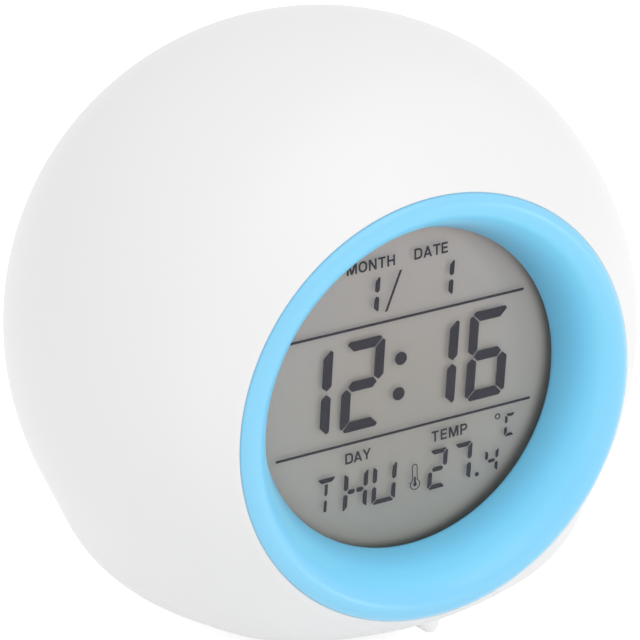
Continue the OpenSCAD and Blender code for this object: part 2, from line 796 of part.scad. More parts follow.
module rear_panel() {
    color("white") difference() {
        union() {
            difference() {
                union() {
                    intersection() {
                        at_globe() sphere(panel_skin_r, $fn = 180);
                        rear_opening(-fit_gap, 30, big);
                    }
                    intersection() {
                        at_globe() sphere(globe_r - globe_wall - 2 * seat, $fn = 180);
                        rear_opening(flange_w, 30, big);
                    }
                }
                at_globe() sphere(panel_back_r, $fn = 180);
            }
            at_rear() {
                for (p = board_post_at) translate([p[0], p[1], button_board_s + seat])
                    cylinder(r = 2, h = ball_s(panel_back_r + 0.6, p[0], p[1]) - button_board_s);
                // ears that reach back to the globe's bosses
                for (x = [0, 1]) mirror([x, 0, 0]) translate([0, -2.8, ear_s - seat - ear_t]) {
                    translate([26, 0, 0]) cube([2.4, 5.6, 44.7 - ear_s + ear_t]);
                    translate([26, 0, 0]) cube([panel_screw_x + 2.8 - 26, 5.6, ear_t]);
                }
            }
        }
        at_rear() {
            for (x = button_x) translate([x, button_y, 30])
                cylinder(r = button_d / 2 + fit_gap / 2, h = 40);
            translate([switch_x, upper_y, 30]) linear_extrude(40)
                round_rect(switch_travel + 3.6, 3.2, 0.4);
            translate([socket_x, upper_y, 30]) linear_extrude(40)
                round_rect(socket_w + 0.5, socket_h + 0.5, 1.8);
            for (x = [-1, 1]) translate([x * panel_screw_x, 0, 30])
                cylinder(r = 0.85 + screw_clearance, h = 30);
            for (p = [board_post_at[0], board_post_at[3]])
                translate([p[0], p[1], button_board_s - 1]) cylinder(r = 0.8, h = 4.6);
        }
    }
}

module panel_screws() {
    color("silver") at_rear() for (x = [-1, 1])
        translate([x * panel_screw_x, 0, ear_s - seat - ear_t]) screw(0.85, 4.1, 1.7, 1.2);
}

module button_board() {
    w = 46;
    h = 25;
    color("seagreen") at_rear() translate([0, 0, button_board_s - button_board_t])
        difference() {
            linear_extrude(button_board_t) round_rect(w, h, 2);
            for (p = [board_post_at[0], board_post_at[3]]) translate([p[0], p[1], -1])
                cylinder(r = 0.75 + screw_clearance, h = 4);
        }
}

module button_board_screws() {
    color("silver") at_rear() for (p = [board_post_at[0], board_post_at[3]])
        translate([p[0], p[1], button_board_s - button_board_t]) screw(0.75, 3.6, 1.6, 1);
}

module tact_switches() {
    body_w = 6;
    color("dimgray") at_rear() for (x = button_x)
        translate([x, button_y, button_board_s + seat]) difference() {
            translate([-body_w / 2, -body_w / 2, 0]) cube([body_w, body_w, switch_h]);
            translate([0, 0, switch_h - button_travel - 0.5])
                cylinder(r = stem_r + pin_fit, h = 5);
        }
}

module push_button(x) {
    proud = 1.5;                            // over the panel's face
    foot_s = button_board_s + switch_h - 0.4;
    flange_r = button_d / 2 + 0.7;
    flange_s = ball_s(panel_back_r, abs(x) + flange_r, button_y + flange_r) - 0.15;
    top_s = ball_s(panel_skin_r, x, button_y) + proud;
    crown_r = 12;
    color("skyblue") at_rear() translate([x, button_y, 0]) {
        translate([0, 0, foot_s]) cylinder(r = stem_r, h = flange_s - foot_s);
        translate([0, 0, flange_s - 1]) cylinder(r = flange_r, h = 1);
        intersection() {
            translate([0, 0, flange_s - 0.5]) cylinder(r = button_d / 2, h = 20);
            translate([0, 0, top_s - crown_r]) sphere(crown_r);
        }
    }
}

module mode_button() { push_button(button_x[4]); }
module set_button() { push_button(button_x[3]); }
module light_button() { push_button(button_x[2]); }
module up_button() { push_button(button_x[1]); }
module down_button() { push_button(button_x[0]); }

switch_body_w = 9;
switch_body_h = 4;

module switch_body() {
    color("silver") at_rear() translate([switch_x, upper_y, button_board_s + seat])
        difference() {
            translate([-switch_body_w / 2, -switch_body_h / 2, 0])
                cube([switch_body_w, switch_body_h, 4]);
            translate([-switch_travel / 2 - 1.1, -1.1, 1.5])
                cube([switch_travel + 2.2, 2.2, 4]);
        }
}

module alarm_switch() {
    knob_w = 2;
    s0 = button_board_s + 2.2;
    x0 = switch_x - switch_travel / 2 - knob_w / 2;
    color("skyblue") at_rear() {
        translate([x0, upper_y - 1, s0])
            cube([knob_w, 2, ball_s(panel_skin_r, switch_x, upper_y) + 1.2 - s0]);
    }
}

module power_socket() {
    mouth_s = ball_s(panel_skin_r, socket_x + 4, upper_y) - 0.5;
    wall = 0.3;
    color("silver") at_rear() translate([socket_x, upper_y, button_board_s + seat]) {
        difference() {
            linear_extrude(mouth_s - button_board_s)
                round_rect(socket_w, socket_h, 1.5);
            translate([0, 0, 1.5]) linear_extrude(20)
                round_rect(socket_w - 2 * wall, socket_h - 2 * wall, 1.2);
        }
        translate([-3.3, -0.35, 1.5]) cube([6.6, 0.7, mouth_s - button_board_s - 2.8]);
    }
}

// ---- wiring, each flat cable runs between the two things that it joins ----

module button_cable() {
    color("lightgray") at_globe() translate([18, 0, 0])
        flat_cable([[33.6, -14], [12, -19], [-21.2, -17]], 5, 0.6);
}

module light_cable() {
    color("crimson") at_globe() translate([light_cable_x, 0, 0])
        flat_cable([[13.2, column_z - 0.7], [8, -12], [-21.2, -9]], 2.4, 0.8);
}

module battery_leads() {
    color("firebrick") at_globe() translate([-21, 0, 0])
        flat_cable([[-6, bay_roof_z + bay_wall + 0.6], [-10, -24], [-21.6, -22]], 1.8, 0.9);
}

module buzzer_leads() {
    color("black") at_globe()
        translate([13, 0, 0]) flat_cable([[22, -27], [-21.5, -25]], 1.8, 0.9);
    color("black") at_globe() translate([0, buzzer_y(), 0]) {
        translate([-0.9, -0.45, -37.6]) cube([1.8, 0.9, 11]);
        translate([-0.9, -4.65, -27.5]) cube([14.8, 5.1, 0.9]);
    }
}

globe_shell();
front_ring();
display_window();
lcd_glass();
lcd_segments();
light_guide();
display_holder();
contact_strips();
ring_screws();
main_board();
board_screws();
clock_chip();
clock_crystal();
capacitors();
tap_sensor();
temperature_sensor();
light_column();
column_screws();
light_board();
light_board_screws();
night_light_leds();
light_diffuser();
base_cover();
base_feet();
base_screws();
buzzer();
battery(0);  // battery_1
battery(1);  // battery_2
battery(2);  // battery_3
contact_springs();
contact_plates();
battery_door();
door_screw();
rear_panel();
panel_screws();
button_board();
button_board_screws();
tact_switches();
mode_button();
set_button();
light_button();
up_button();
down_button();
switch_body();
alarm_switch();
power_socket();
button_cable();
light_cable();
battery_leads();
buzzer_leads();
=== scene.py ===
import math

import bpy
from mathutils import Matrix, Vector


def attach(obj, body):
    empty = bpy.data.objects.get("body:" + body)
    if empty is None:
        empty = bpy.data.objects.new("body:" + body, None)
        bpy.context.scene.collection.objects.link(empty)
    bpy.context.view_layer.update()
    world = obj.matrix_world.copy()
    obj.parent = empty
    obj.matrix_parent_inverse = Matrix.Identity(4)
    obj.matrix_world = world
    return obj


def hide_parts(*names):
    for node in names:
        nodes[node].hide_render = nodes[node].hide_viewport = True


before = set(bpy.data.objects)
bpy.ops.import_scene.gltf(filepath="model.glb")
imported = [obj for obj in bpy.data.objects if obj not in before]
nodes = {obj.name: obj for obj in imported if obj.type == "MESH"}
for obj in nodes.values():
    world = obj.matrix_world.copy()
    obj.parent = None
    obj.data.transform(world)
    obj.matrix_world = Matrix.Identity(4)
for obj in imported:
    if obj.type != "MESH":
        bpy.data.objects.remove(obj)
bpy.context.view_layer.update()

mm = 0.001


# here and below, lengths are in millimetres and angles in degrees unless a note says otherwise
clock = {
    "ballRadius": 55.0,
    "ballCentre": (0.0, -6.518, 47.1),
    "floorDrop": 45.1,      # the ball's centre over its flat underside
    "flatRadius": 26.6,
    "roundRadius": 21.2,
    "wall": 1.8,
    "ringDrop": 2.5,        # the ring's axis passes this far below the ball's centre
    "ringTilt": 2.5,
    "ringRadius": 37.25,
    "ringReach": 39.4,
    "holeRadius": 37.5,     # of the globe's opening for the ring
    "displayReach": 28.5,
    "panelLean": 18.0,
}

ballCentre = Vector(clock["ballCentre"])
tilt = math.radians(clock["ringTilt"])
ringRight = Vector((1, 0, 0))
ringUp = Vector((0, math.sin(tilt), math.cos(tilt)))
ringOut = Vector((0, -math.cos(tilt), math.sin(tilt)))
ringCentre = ballCentre - clock["ringDrop"] * ringUp

lean = math.radians(clock["panelLean"])
rearOut = Vector((0, math.cos(lean), -math.sin(lean)))
rearDown = Vector((0, -math.sin(lean), -math.cos(lean)))


def ringPlace(x, y, out):
    return (ringCentre + x * ringRight + y * ringUp + out * ringOut) * mm


def rearPlace(x, y, out):
    return (ballCentre + x * ringRight + y * rearDown + out * rearOut) * mm


ringTurn = Matrix((ringRight, ringUp, ringOut)).transposed().to_4x4()
rearTurn = Matrix((ringRight, rearDown, rearOut)).transposed().to_4x4()


mergeGap = 1e-7             # metres between two points that count as one


def clearSelection():
    if bpy.context.object and bpy.context.object.mode != "OBJECT":
        bpy.ops.object.mode_set(mode="OBJECT")
    bpy.ops.object.select_all(action="DESELECT")


def activate(piece):
    clearSelection()
    piece.select_set(True)
    bpy.context.view_layer.objects.active = piece


def named(name):
    # the object that was made last gets its name
    piece = bpy.context.object
    piece.name = name
    piece.data.name = name
    return piece


def settle(piece):
    # place, turn and size go into the mesh
    activate(piece)
    bpy.ops.object.transform_apply(location=True, rotation=True, scale=True)


def applyModifier(piece, kind, **values):
    activate(piece)
    modifier = piece.modifiers.new(kind.lower(), kind)
    for key, value in values.items():
        setattr(modifier, key, value)
    bpy.ops.object.modifier_apply(modifier=modifier.name)


def cutWith(piece, cutter):
    applyModifier(piece, "BOOLEAN", object=cutter, operation="DIFFERENCE", solver="EXACT")
    bpy.data.objects.remove(cutter)


def joinInto(piece, other):
    clearSelection()
    other.select_set(True)
    piece.select_set(True)
    bpy.context.view_layer.objects.active = piece
    bpy.ops.object.join()


def smooth(piece, angle):
    activate(piece)
    bpy.ops.object.shade_smooth_by_angle(angle=math.radians(angle))


def deselectMesh(kind):
    # nothing stays selected, and a script can then select vertices or edges
    bpy.ops.object.mode_set(mode="EDIT")
    bpy.ops.mesh.select_mode(type=kind)
    bpy.ops.mesh.select_all(action="DESELECT")
    bpy.ops.object.mode_set(mode="OBJECT")


def tidyMesh(piece):
    activate(piece)
    bpy.ops.object.mode_set(mode="EDIT")
    bpy.ops.mesh.select_all(action="SELECT")
    bpy.ops.mesh.remove_doubles(threshold=mergeGap)
    bpy.ops.mesh.normals_make_consistent(inside=False)
    bpy.ops.object.mode_set(mode="OBJECT")


def arcPoints(centre, radius, start, end, count):
    # an arc in equal steps, with both its ends
    turns = [math.radians(start + (end - start) * i / count) for i in range(count + 1)]
    return [(centre[0] + radius * math.cos(a), centre[1] + radius * math.sin(a)) for a in turns]


def spunPiece(name, profile, steps, place, centre, axis):
    # a vertex is extruded round the closed profile, and the line is spun about the axis
    clearSelection()
    points = [place(*p) for p in profile]
    bpy.ops.mesh.primitive_plane_add(size=mm, location=points[0])
    piece = named(name)
    settle(piece)
    bpy.ops.object.mode_set(mode="EDIT")
    bpy.ops.mesh.select_all(action="SELECT")
    bpy.ops.mesh.merge(type="CENTER")
    for a, b in zip(points, points[1:] + points[:1]):
        bpy.ops.mesh.extrude_region_move(TRANSFORM_OT_translate={"value": b - a})
    bpy.ops.mesh.select_all(action="SELECT")
    bpy.ops.mesh.remove_doubles(threshold=mergeGap)
    bpy.ops.mesh.spin(steps=steps, angle=2 * math.pi, center=centre * mm, axis=axis)
    bpy.ops.object.mode_set(mode="OBJECT")
    tidyMesh(piece)
    return piece


def roundedBlock(name, width, height, corner, low, high, origin, turn):
    # a block whose four upright edges are rounded
    clearSelection()
    bpy.ops.mesh.primitive_cube_add(size=1, location=(0, 0, 0))
    block = named(name)
    block.scale = (width * mm, height * mm, (high - low) * mm)
    block.location = (0, 0, (high + low) / 2 * mm)
    settle(block)
    deselectMesh("EDGE")
    for edge in block.data.edges:
        a, b = (block.data.vertices[i].co for i in edge.vertices)
        edge.select = abs(a.x - b.x) < mergeGap and abs(a.y - b.y) < mergeGap
    bpy.ops.object.mode_set(mode="EDIT")
    bpy.ops.mesh.bevel(offset=corner * mm, segments=12, affect="EDGES", offset_type="OFFSET")
    bpy.ops.mesh.select_mode(type="VERT")
    bpy.ops.object.mode_set(mode="OBJECT")
    block.matrix_world = Matrix.Translation(origin) @ turn
    settle(block)
    return block


def finish(piece, body, material):
    piece.data.materials.clear()
    piece.data.materials.append(material)
    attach(piece, body)
    return piece


def newGroup(name, inputs, outputs):
    group = bpy.data.node_groups.new(name, "ShaderNodeTree")
    for label, kind, value in inputs:
        socket = group.interface.new_socket(label, in_out="INPUT", socket_type=kind)
        if value is not None:
            socket.default_value = value
    for label, kind in outputs:
        group.interface.new_socket(label, in_out="OUTPUT", socket_type=kind)
    return group, group.nodes.new("NodeGroupInput"), group.nodes.new("NodeGroupOutput")


def makeMouldGrain():
    # spark-etched grain of a moulded surface, and its slow uneven shading
    group, given, made = newGroup(
        "mouldGrain",
        [("Vector", "NodeSocketVector", None), ("Grain", "NodeSocketFloat", 4000.0),
         ("Cloud", "NodeSocketFloat", 40.0)],
        [("Height", "NodeSocketFloat"), ("Shade", "NodeSocketFloat")],
    )
    link = group.links.new
    fine = group.nodes.new("ShaderNodeTexNoise")
    fine.inputs["Detail"].default_value = 3.0
    fine.inputs["Roughness"].default_value = 0.6
    slow = group.nodes.new("ShaderNodeTexNoise")
    slow.inputs["Detail"].default_value = 2.0
    pits = group.nodes.new("ShaderNodeTexVoronoi")
    link(given.outputs["Vector"], fine.inputs["Vector"])
    link(given.outputs["Vector"], slow.inputs["Vector"])
    link(given.outputs["Vector"], pits.inputs["Vector"])
    link(given.outputs["Grain"], fine.inputs["Scale"])
    link(given.outputs["Grain"], pits.inputs["Scale"])
    link(given.outputs["Cloud"], slow.inputs["Scale"])
    both = group.nodes.new("ShaderNodeMath")
    both.operation = "MULTIPLY_ADD"
    both.inputs[1].default_value = 0.4
    link(pits.outputs["Distance"], both.inputs[0])
    link(fine.outputs["Fac"], both.inputs[2])
    link(both.outputs[0], made.inputs["Height"])
    link(slow.outputs["Fac"], made.inputs["Shade"])
    return group


def makeBrushedLines():
    # fine lines of a drawn or turned metal part
    group, given, made = newGroup(
        "brushedLines",
        [("Vector", "NodeSocketVector", None), ("Scale", "NodeSocketFloat", 900.0)],
        [("Height", "NodeSocketFloat"), ("Shade", "NodeSocketFloat")],
    )
    link = group.links.new
    stretch = group.nodes.new("ShaderNodeVectorMath")
    stretch.operation = "MULTIPLY"
    stretch.inputs[1].default_value = (1.0, 1.0, 0.06)
    lines = group.nodes.new("ShaderNodeTexNoise")
    lines.inputs["Detail"].default_value = 4.0
    stain = group.nodes.new("ShaderNodeTexNoise")
    stain.inputs["Scale"].default_value = 160.0
    link(given.outputs["Vector"], stretch.inputs[0])
    link(stretch.outputs[0], lines.inputs["Vector"])
    link(given.outputs["Scale"], lines.inputs["Scale"])
    link(given.outputs["Vector"], stain.inputs["Vector"])
    link(lines.outputs["Fac"], made.inputs["Height"])
    link(stain.outputs["Fac"], made.inputs["Shade"])
    return group


mouldGrain = makeMouldGrain()
brushedLines = makeBrushedLines()


noiseRange = (0.25, 0.75)   # most values of a noise texture lie between these
grainDepth = 0.00003        # metres, relief of moulded plastic
fineDepth = 0.00002         # metres, relief of metal and of the display's film


def startMaterial(name):
    material = bpy.data.materials.new(name)
    material.use_nodes = True
    shader = material.node_tree.nodes["Principled BSDF"]
    return material, material.node_tree, shader


def placeGroup(tree, group, values):
    place = tree.nodes.new("ShaderNodeTexCoord")
    effect = tree.nodes.new("ShaderNodeGroup")
    effect.node_tree = group
    tree.links.new(place.outputs["Object"], effect.inputs["Vector"])
    for key, value in values.items():
        effect.inputs[key].default_value = value
    return effect


def mixColours(tree, fac, low, high):
    mix = tree.nodes.new("ShaderNodeMix")
    mix.data_type = "RGBA"
    mix.inputs["A"].default_value = (*low, 1)
    mix.inputs["B"].default_value = (*high, 1)
    tree.links.new(fac, mix.inputs["Factor"])
    return mix.outputs["Result"]


def rangeOf(tree, value, source, target=(0.0, 1.0)):
    turn = tree.nodes.new("ShaderNodeMapRange")
    turn.inputs["From Min"].default_value, turn.inputs["From Max"].default_value = source
    turn.inputs["To Min"].default_value, turn.inputs["To Max"].default_value = target
    tree.links.new(value, turn.inputs["Value"])
    return turn.outputs["Result"]


def largerOf(tree, first, second):
    larger = tree.nodes.new("ShaderNodeMath")
    larger.operation = "MAXIMUM"
    tree.links.new(first, larger.inputs[0])
    tree.links.new(second, larger.inputs[1])
    return larger.outputs[0]


def bumpFrom(tree, height, strength, distance):
    bump = tree.nodes.new("ShaderNodeBump")
    bump.inputs["Strength"].default_value = strength
    bump.inputs["Distance"].default_value = distance
    tree.links.new(height, bump.inputs["Height"])
    return bump.outputs["Normal"]


def setSurface(tree, shader, effect, roughness, bump, depth):
    # roughness and bump of one of the shared effects, whose noise stays near its middle
    rough = rangeOf(tree, effect.outputs["Shade"], noiseRange, roughness)
    tree.links.new(rough, shader.inputs["Roughness"])
    tree.links.new(bumpFrom(tree, effect.outputs["Height"], bump, depth),
                   shader.inputs["Normal"])


def srgb(r, g, b):
    return tuple((c / 255 / 12.92) if c <= 10 else ((c / 255 + 0.055) / 1.055) ** 2.4
                 for c in (r, g, b))


def makeGrained(name, group, sizes, colour, shade, roughness, bump, depth):
    # colour, roughness and relief all follow one of the shared effects
    material, tree, shader = startMaterial(name)
    effect = placeGroup(tree, group, sizes)
    darker = tuple(c * (1 - shade) for c in colour)
    tree.links.new(mixColours(tree, effect.outputs["Shade"], darker, colour),
                   shader.inputs["Base Color"])
    setSurface(tree, shader, effect, roughness, bump, depth)
    return material, shader


def makePlastic(name, colour, shade, roughness, grain, cloud, bump, glow=0.0):
    sizes = {"Grain": grain, "Cloud": cloud}
    material, shader = makeGrained(name, mouldGrain, sizes, colour, shade, roughness, bump,
                                   grainDepth)
    shader.inputs["Emission Color"].default_value = (1, 1, 1, 1)
    shader.inputs["Emission Strength"].default_value = glow
    return material


metalFinish = {
    "scale": 1500.0,
    "shade": 0.2,
    "bump": 0.15,
}


def makeMetal(name, colour, roughness):
    material, shader = makeGrained(name, brushedLines, {"Scale": metalFinish["scale"]}, colour,
                                   metalFinish["shade"], roughness, metalFinish["bump"],
                                   fineDepth)
    shader.inputs["Metallic"].default_value = 1.0
    return material


def vectorStep(tree, operation, first, second=None):
    # the second side is a socket or a fixed vector
    step = tree.nodes.new("ShaderNodeVectorMath")
    step.operation = operation
    tree.links.new(first, step.inputs[0])
    if isinstance(second, Vector):
        step.inputs[1].default_value = second
    elif second is not None:
        tree.links.new(second, step.inputs[1])
    return step.outputs


def heightOn(tree, direction, low, high):
    # 0 to 1 along a direction of the front frame, between two places in millimetres
    place = tree.nodes.new("ShaderNodeTexCoord")
    along = vectorStep(tree, "DOT_PRODUCT", place.outputs["Object"], direction)
    start = ringCentre.dot(direction)
    return rangeOf(tree, along["Value"], ((start + low) * mm, (start + high) * mm))


def reachFrom(tree, centre, low, high):
    # 0 to 1 with the distance from a line along the ring's axis, in millimetres
    place = tree.nodes.new("ShaderNodeTexCoord")
    arm = vectorStep(tree, "SUBTRACT", place.outputs["Object"], centre * mm)["Vector"]
    along = vectorStep(tree, "PROJECT", arm, ringOut)["Vector"]
    across = vectorStep(tree, "SUBTRACT", arm, along)["Vector"]
    reach = vectorStep(tree, "LENGTH", across)["Value"]
    return rangeOf(tree, reach, (low * mm, high * mm))


def rampOf(tree, value, low, high, tones):
    # colours, or shares of one, at places between low and high
    ramp = tree.nodes.new("ShaderNodeValToRGB")
    stops = ramp.color_ramp.elements
    while len(stops) < len(tones):
        stops.new(0.5)
    for stop, (place, tone) in zip(stops, tones):
        colour = tone if isinstance(tone, tuple) else (tone,) * 3
        stop.position = (place - low) / (high - low)
        stop.color = (*colour, 1)
    tree.links.new(value, ramp.inputs["Fac"])
    return ramp.outputs["Color"]


def multiplied(tree, first, second):
    mix = tree.nodes.new("ShaderNodeMix")
    mix.data_type = "RGBA"
    mix.blend_type = "MULTIPLY"
    mix.inputs["Factor"].default_value = 1.0
    tree.links.new(first, mix.inputs["A"])
    tree.links.new(second, mix.inputs["B"])
    return mix.outputs["Result"]


ringFinish = {
    "from": 28.0,           # millimetres from the axis of the tones
    "to": 38.0,
    # painted shade: the tones darken the blue towards the display's opening, where the wall lies in
    # shade
    "tones": [(28.2, srgb(104, 178, 211)), (29.2, srgb(115, 194, 227)),
              (30.1, srgb(124, 208, 243)), (31.1, srgb(132, 220, 255)),
              (32.4, srgb(135, 221, 255)), (33.6, srgb(132, 212, 248)),
              (34.4, srgb(131, 208, 246)), (35.9, srgb(133, 206, 240))],
    "paintedShadeShift": (0.35, 0.75),  # right and up, of the centre of the tones and their painted shade
    "shade": 0.02,
    "glow": 0.06,           # painted glow: the ring gives off light in its own colour though it is no lamp
    "grain": {"Grain": 3500.0, "Cloud": 30.0},
    "roughness": (0.3, 0.37),
    "bump": 0.06,
}


def makeRingPlastic():
    material, tree, shader = startMaterial("blueRing")
    effect = placeGroup(tree, mouldGrain, ringFinish["grain"])
    low, high = ringFinish["from"], ringFinish["to"]
    right, up = ringFinish["paintedShadeShift"]
    paintedShadeCentre = ringCentre + right * ringRight + up * ringUp
    # painted shade: the blue darkens towards the opening, where the wall lies in shade
    tone = rampOf(tree, reachFrom(tree, paintedShadeCentre, low, high), low, high, ringFinish["tones"])
    cloud = mixColours(tree, effect.outputs["Shade"], (1 - ringFinish["shade"],) * 3, (1, 1, 1))
    colour = multiplied(tree, tone, cloud)
    tree.links.new(colour, shader.inputs["Base Color"])
    # painted glow, in the ring's colour with its painted shade
    tree.links.new(colour, shader.inputs["Emission Color"])
    shader.inputs["Emission Strength"].default_value = ringFinish["glow"]
    setSurface(tree, shader, effect, ringFinish["roughness"], ringFinish["bump"], grainDepth)
    return material


filmFinish = {
    "from": -32.0,          # millimetres up the display
    "to": 32.0,
    # painted light and shade: the film is lighter towards the top
    "tones": [(-28.0, srgb(164, 162, 153)), (-14.0, srgb(183, 177, 169)),
              (0.0, srgb(190, 182, 174)), (14.0, srgb(195, 185, 178)),
              (28.0, srgb(203, 189, 181))],
    "reach": 30.0,
    # painted light: share of the colour that is left at a distance from the display's axis, darker
    # in the middle and lighter towards the rim to offset the shade of the ring's wall
    "paintedLift": [(0, 0.757), (10, 0.776), (15, 0.81), (18, 0.84), (21, 0.878), (23, 0.92),
               (25, 0.965), (27, 1.0)],
    # painted shadow of the ring's wall: the edge is darker low on the right
    "wallShadowShift": (-1.0, 1.05),
    "edge": [(27.4, 1.0), (28.4, 0.92), (29.2, 0.7), (29.9, 0.46)],
    "shade": 0.015,
    "grain": {"Grain": 6000.0, "Cloud": 50.0},
    "roughness": (0.5, 0.6),
    "bump": 0.05,
}


def makeLcdFilm():
    # painted light and shade: the film is darker low down and around its middle, lighter towards
    # its top and rim, and darker at its edge with a painted shadow of the ring's wall
    material, tree, shader = startMaterial("lcdFilm")
    effect = placeGroup(tree, mouldGrain, filmFinish["grain"])
    low, high = filmFinish["from"], filmFinish["to"]
    # painted light and shade by height
    tone = rampOf(tree, heightOn(tree, ringUp, low, high), low, high, filmFinish["tones"])
    cloud = mixColours(tree, effect.outputs["Shade"], (1 - filmFinish["shade"],) * 3, (1, 1, 1))
    reach = filmFinish["reach"]
    right, up = filmFinish["wallShadowShift"]
    wallShadowCentre = ringCentre + right * ringRight + up * ringUp
    # painted light that offsets the shade of the ring's wall
    paintedLift = rampOf(tree, reachFrom(tree, ringCentre, 0, reach), 0, reach, filmFinish["paintedLift"])
    # painted shadow of the ring's wall along the film's edge
    edge = rampOf(tree, reachFrom(tree, wallShadowCentre, 0, reach), 0, reach, filmFinish["edge"])
    shaded = multiplied(tree, multiplied(tree, tone, cloud), multiplied(tree, paintedLift, edge))
    tree.links.new(shaded, shader.inputs["Base Color"])
    setSurface(tree, shader, effect, filmFinish["roughness"], filmFinish["bump"], fineDepth)
    return material


inkFinish = {
    "colour": srgb(66, 63, 69),
    "specular": 0.1,
    "cover": 0.35,          # share of the light that the characters keep from the film
}


def makeInk():
    # dark characters that let part of the light through to the film behind them
    material = makePlastic("lcdInk", inkFinish["colour"], 0.08, (0.45, 0.55), 6000, 200, 0.05)
    tree = material.node_tree
    shader = tree.nodes["Principled BSDF"]
    shader.inputs["Specular IOR Level"].default_value = inkFinish["specular"]
    rays = tree.nodes.new("ShaderNodeLightPath")
    lighting = largerOf(tree, rays.outputs["Is Shadow Ray"], rays.outputs["Is Diffuse Ray"])
    tree.links.new(rangeOf(tree, lighting, (0.0, 1.0), (1.0, inkFinish["cover"])),
                   shader.inputs["Alpha"])
    return material


ringPlastic = makeRingPlastic()
lcdFilm = makeLcdFilm()
lcdInk = makeInk()
# colour, share of shading, roughness from and to, scale of grain, scale of shading, bump
shellPlastic = makePlastic("frostedShell", srgb(238, 238, 238), 0.012, (0.42, 0.5), 3500, 22, 0.06)
basePlastic = makePlastic("whiteBase", srgb(238, 238, 238), 0.03, (0.45, 0.6), 2500, 60, 0.3)
panelPlastic = makePlastic("whitePanel", srgb(240, 240, 240), 0.03, (0.4, 0.55), 2500, 60, 0.25)
buttonPlastic = makePlastic("blueButton", srgb(120, 206, 246), 0.04, (0.3, 0.4), 4000, 200, 0.1)
innerPlastic = makePlastic("whiteInner", srgb(235, 235, 232), 0.05, (0.4, 0.55), 2500, 80, 0.2)
# the feet glow faintly: painted light that lifts them out of the globe's shade
footRubber = makePlastic("footRubber", srgb(244, 244, 243), 0.03, (0.6, 0.75), 3000, 150, 0.2,
                         glow=0.17)
guidePlastic = makePlastic("milkyGuide", srgb(240, 243, 243), 0.02, (0.3, 0.4), 4000, 60, 0.05)
stripRubber = makePlastic("stripRubber", srgb(200, 130, 150), 0.4, (0.6, 0.7), 2500, 2500, 0.3)
boardMask = makePlastic("greenMask", srgb(26, 92, 52), 0.35, (0.3, 0.45), 2500, 400, 0.2)
lightMask = makePlastic("whiteMask", srgb(238, 238, 232), 0.08, (0.35, 0.45), 2500, 300, 0.15)
chipEpoxy = makePlastic("chipEpoxy", srgb(26, 26, 28), 0.3, (0.5, 0.7), 6000, 500, 0.4)
sleevePlastic = makePlastic("capSleeve", srgb(34, 44, 90), 0.2, (0.25, 0.35), 3000, 300, 0.1)
ledLens = makePlastic("ledLens", srgb(247, 228, 140), 0.1, (0.2, 0.3), 4000, 300, 0.1)
diffuserPlastic = makePlastic("milkyDiffuser", srgb(245, 245, 243), 0.02, (0.5, 0.6), 3000, 60, 0.1)
switchPlastic = makePlastic("switchBody", srgb(30, 30, 32), 0.2, (0.45, 0.6), 4000, 300, 0.2)
batterySleeve = makePlastic("batterySleeve", srgb(214, 116, 38), 0.25, (0.25, 0.35), 3000, 120, 0.1)
greyCable = makePlastic("greyCable", srgb(188, 188, 188), 0.15, (0.5, 0.6), 3000, 400, 0.2)
redCable = makePlastic("redCable", srgb(190, 36, 36), 0.15, (0.45, 0.55), 3000, 400, 0.2)
blackCable = makePlastic("blackCable", srgb(28, 28, 28), 0.2, (0.45, 0.55), 3000, 400, 0.2)
# colour, roughness from and to
screwSteel = makeMetal("screwSteel", (0.62, 0.62, 0.63), (0.25, 0.4))
nickelPlate = makeMetal("nickelPlate", (0.75, 0.73, 0.69), (0.15, 0.28))
canMetal = makeMetal("canMetal", (0.7, 0.7, 0.72), (0.22, 0.35))
sensorBrass = makeMetal("sensorBrass", (0.78, 0.58, 0.26), (0.25, 0.35))


windowFinish = {
    "colour": (0.05, 0.055, 0.055, 1),
    "alpha": 0.04,
    "grain": {"Grain": 3000.0, "Cloud": 30.0},
    "roughness": (0.03, 0.06),
}


def makeWindow():
    material, tree, shader = startMaterial("clearWindow")
    effect = placeGroup(tree, mouldGrain, windowFinish["grain"])
    rough = rangeOf(tree, effect.outputs["Shade"], noiseRange, windowFinish["roughness"])
    tree.links.new(rough, shader.inputs["Roughness"])
    shader.inputs["Base Color"].default_value = windowFinish["colour"]
    shader.inputs["Alpha"].default_value = windowFinish["alpha"]
    return material


clearWindow = makeWindow()

cadFinish = {
    "globe_shell": shellPlastic, "front_ring": ringPlastic, "display_window": clearWindow,
    "lcd_glass": lcdFilm, "lcd_segments": lcdInk, "light_guide": guidePlastic,
    "display_holder": innerPlastic, "contact_strips": stripRubber, "ring_screws": screwSteel,
    "main_board": boardMask, "board_screws": screwSteel, "clock_chip": chipEpoxy,
    "clock_crystal": canMetal, "capacitors": sleevePlastic, "tap_sensor": sensorBrass,
    "temperature_sensor": chipEpoxy, "light_column": innerPlastic, "column_screws": screwSteel,
    "light_board": lightMask, "light_board_screws": screwSteel, "night_light_leds": ledLens,
    "light_diffuser": diffuserPlastic, "base_cover": basePlastic, "base_feet": footRubber,
    "base_screws": screwSteel, "buzzer": chipEpoxy, "battery_1": batterySleeve,
    "battery_2": batterySleeve, "battery_3": batterySleeve, "contact_springs": nickelPlate,
    "contact_plates": nickelPlate, "battery_door": basePlastic, "door_screw": screwSteel,
    "rear_panel": panelPlastic, "panel_screws": screwSteel, "button_board": boardMask,
    "button_board_screws": screwSteel, "tact_switches": switchPlastic,
    "mode_button": buttonPlastic, "set_button": buttonPlastic, "light_button": buttonPlastic,
    "up_button": buttonPlastic, "down_button": buttonPlastic, "switch_body": canMetal,
    "alarm_switch": buttonPlastic, "power_socket": nickelPlate, "button_cable": greyCable,
    "light_cable": redCable, "battery_leads": redCable, "buzzer_leads": blackCable,
}
for nodeName, node in nodes.items():
    node.data.materials.clear()
    node.data.materials.append(cadFinish[nodeName])
print("materials made:", len(bpy.data.materials))


